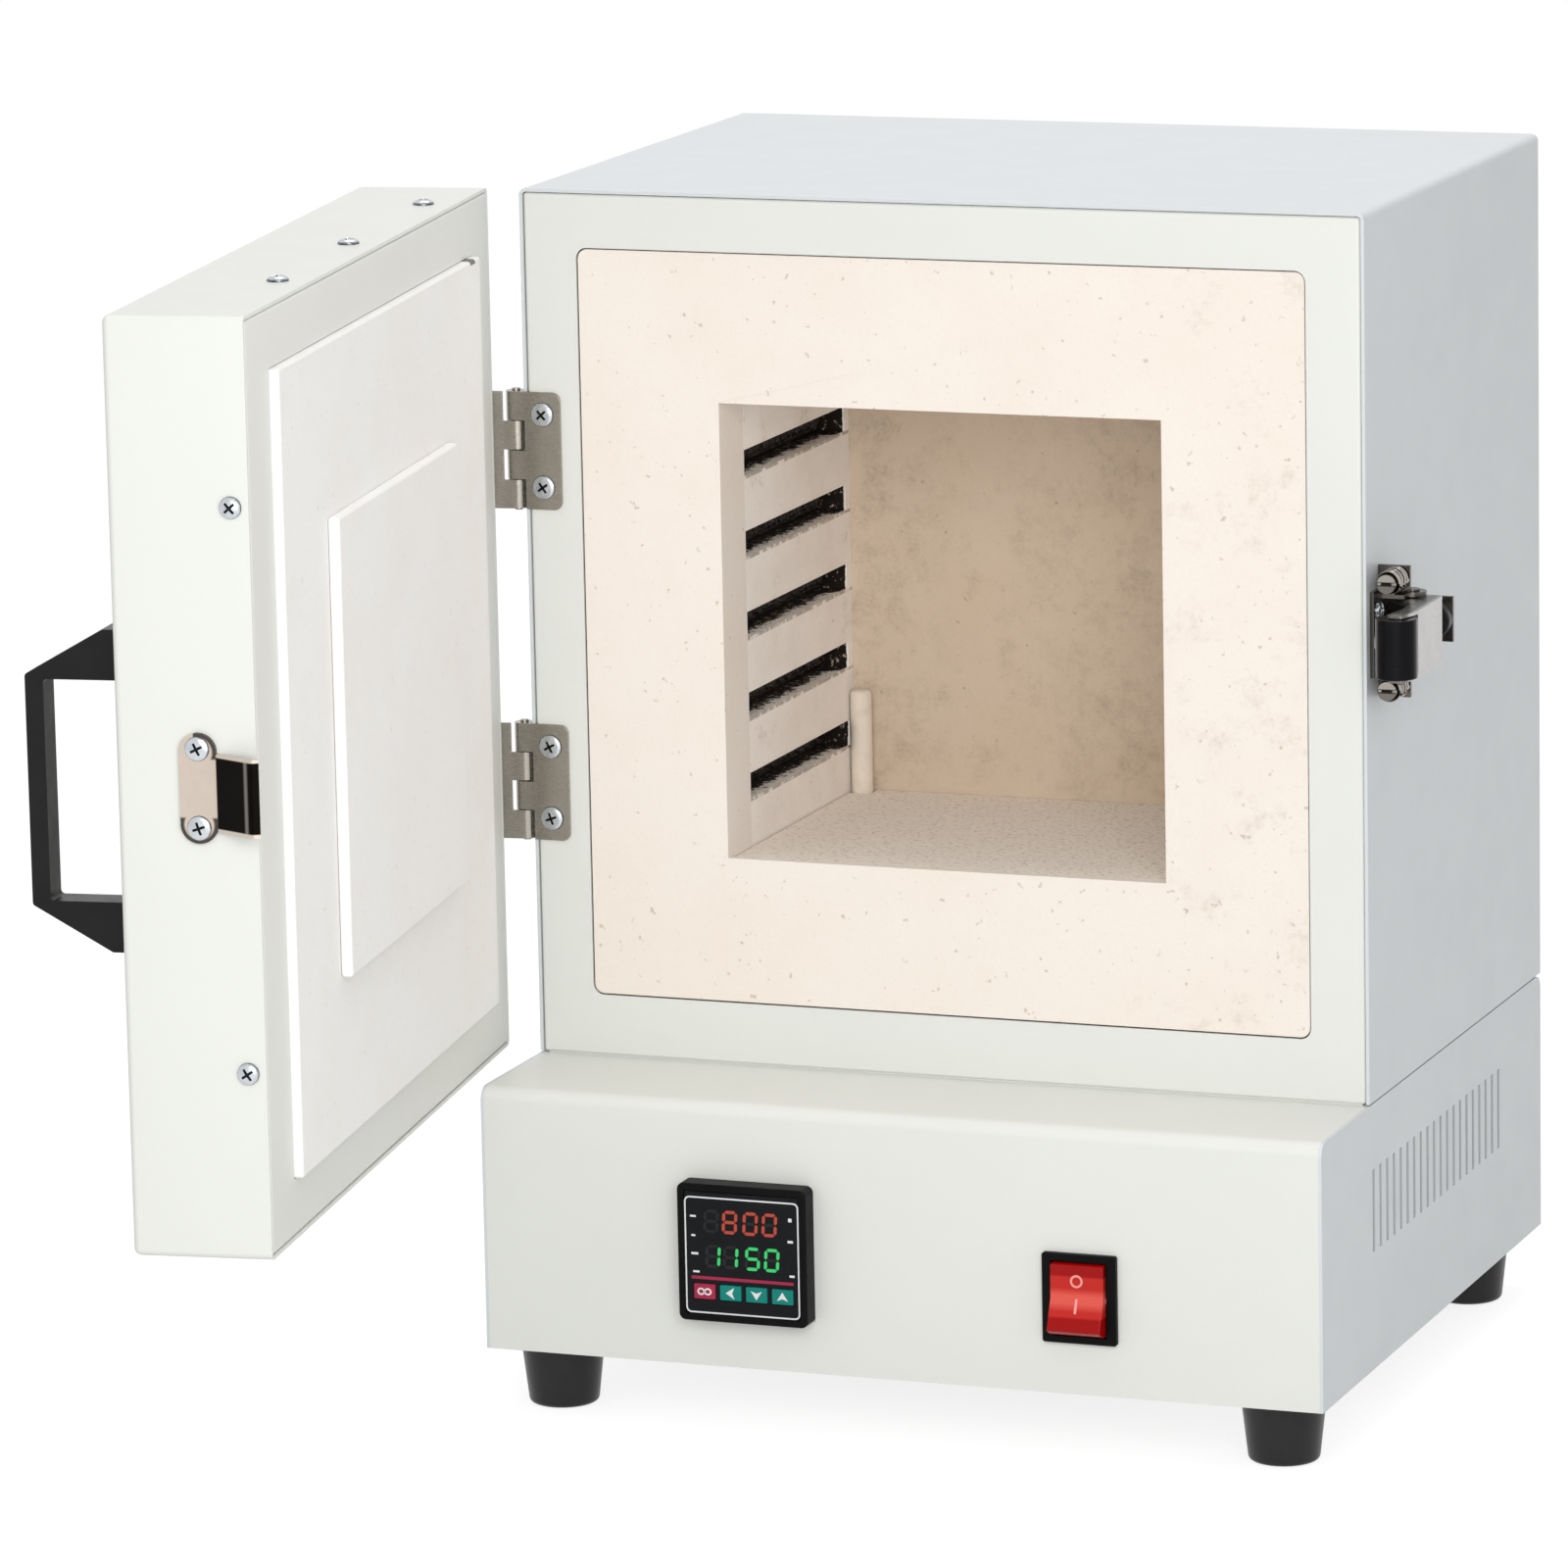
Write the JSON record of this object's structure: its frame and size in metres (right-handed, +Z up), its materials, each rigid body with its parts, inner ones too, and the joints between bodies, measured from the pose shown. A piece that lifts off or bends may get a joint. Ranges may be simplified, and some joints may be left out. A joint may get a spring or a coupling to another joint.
{
  "type": "muffle_furnace",
  "caption": "Bench-top laboratory muffle furnace with a side-hung insulated door standing open, slotted ceramic chamber, panel controller, rocker switch and sprung roller catch.",
  "frame": {"origin": "centre of the base's footprint, on the bench plane under the feet", "axes": "+X to the catch side, +Y to the back, +Z up"},
  "size_m": [0.3903, 0.5578, 0.4323],
  "materials": {
    "casing_paint": "satin off-white powder coat",
    "ceramic_board": "pressed ceramic fibre board, lightly fired",
    "ceramic_blanket": "soft white fibre blanket",
    "heater_wire": "oxidised resistance wire",
    "sheath_ceramic": "fired ceramic tube",
    "nickel_steel": "satin nickel plate",
    "screw_steel": "bright zinc plate",
    "dark_steel": "dark polished steel",
    "black_rubber": "matte rubber",
    "black_plastic": "moulded black plastic",
    "display_plastic": "glossy black window",
    "red_plastic": "translucent red plastic",
    "key_red_plastic": "crimson key cap",
    "key_teal_plastic": "teal key cap",
    "aluminium": "extruded, mill finish",
    "white_plastic": "moulded off-white plastic"
  },
  "bodies": {
    "cabinet": {"base_wrap": "casing_paint", "base_left_side": "casing_paint", "base_right_side": "casing_paint", "base_floor": "casing_paint", "foot_front_left": "black_rubber", "foot_front_right": "black_rubber", "foot_rear_left": "black_rubber", "foot_rear_right": "black_rubber", "foot_screws": "screw_steel", "casing_wrap": "casing_paint", "casing_front_frame": "casing_paint", "casing_back_panel": "casing_paint", "casing_floor": "casing_paint", "casing_screws": "screw_steel", "ceramic_collar": "ceramic_board", "chamber_left_wall": "ceramic_board", "chamber_right_wall": "ceramic_board", "chamber_roof": "ceramic_board", "chamber_back_wall": "ceramic_board", "chamber_floor": "ceramic_board", "hearth_plate": "ceramic_board", "heater_coils_left": "heater_wire", "heater_coils_right": "heater_wire", "thermocouple": "sheath_ceramic", "insulation_jacket": "ceramic_blanket", "insulation_back": "ceramic_blanket", "insulation_bed": "ceramic_blanket", "controller_case": "black_plastic", "controller_face": "display_plastic", "switch_frame": "black_plastic", "solid_state_relay": "white_plastic", "relay_heat_sink": "aluminium", "terminal_strip": "black_plastic", "cord_gland": "black_plastic", "hinge_upper_body_leaf": "nickel_steel", "hinge_lower_body_leaf": "nickel_steel", "hinge_pins": "nickel_steel", "catch_bracket": "nickel_steel", "catch_pivot": "nickel_steel", "catch_springs": "nickel_steel", "catch_adjusters": "nickel_steel", "catch_buffer": "black_rubber"},
    "door": {"door_shell": "casing_paint", "door_rim": "casing_paint", "door_blanket": "ceramic_blanket", "door_step_board": "ceramic_board", "door_plug": "ceramic_board", "door_screws": "screw_steel", "door_handle": "black_plastic", "door_strike": "nickel_steel", "hinge_upper_door_leaf": "nickel_steel", "hinge_lower_door_leaf": "nickel_steel"},
    "catch_arm": {"catch_arm": "nickel_steel"},
    "catch_roller": {"catch_roller": "dark_steel"},
    "switch_rocker": {"switch_rocker": "red_plastic"},
    "key_set": {"key_set": "key_red_plastic"},
    "key_shift": {"key_shift": "key_teal_plastic"},
    "key_down": {"key_down": "key_teal_plastic"},
    "key_up": {"key_up": "key_teal_plastic"}
  },
  "joints": [
    {"name": "door_swing", "type": "hinge", "parent": "cabinet", "child": "door", "pos_m": [-0.1589, -0.0781, 0.278], "axis": [0, 0, 1], "range_deg": [-98.05, 81.95]},
    {"name": "catch_arm_turn", "type": "hinge", "parent": "cabinet", "child": "catch_arm", "pos_m": [0.166, -0.062, 0.2835], "axis": [0, 0, 1], "range_deg": [0, 20], "stiffness_Nm_per_rad": 0.5, "springref_deg": -9.74},
    {"name": "roller_spin", "type": "hinge", "parent": "catch_arm", "child": "catch_roller", "pos_m": [0.1706, -0.0968, 0.2835], "axis": [0, 0, 1], "continuous": true},
    {"name": "rocker_tilt", "type": "hinge", "parent": "cabinet", "child": "switch_rocker", "pos_m": [0.0678, -0.1386, 0.0576], "axis": [1, 0, 0], "range_deg": [0, 24]},
    {"name": "key_set_press", "type": "slide", "parent": "cabinet", "child": "key_set", "axis": [0, 1, 0], "range_m": [0, 0.0005], "stiffness_N_per_m": 500, "springref_m": -0.0002},
    {"name": "key_shift_press", "type": "slide", "parent": "cabinet", "child": "key_shift", "axis": [0, 1, 0], "range_m": [0, 0.0005], "stiffness_N_per_m": 500, "springref_m": -0.0002},
    {"name": "key_down_press", "type": "slide", "parent": "cabinet", "child": "key_down", "axis": [0, 1, 0], "range_m": [0, 0.0005], "stiffness_N_per_m": 500, "springref_m": -0.0002},
    {"name": "key_up_press", "type": "slide", "parent": "cabinet", "child": "key_up", "axis": [0, 1, 0], "range_m": [0, 0.0005], "stiffness_N_per_m": 500, "springref_m": -0.0002}
  ]
}
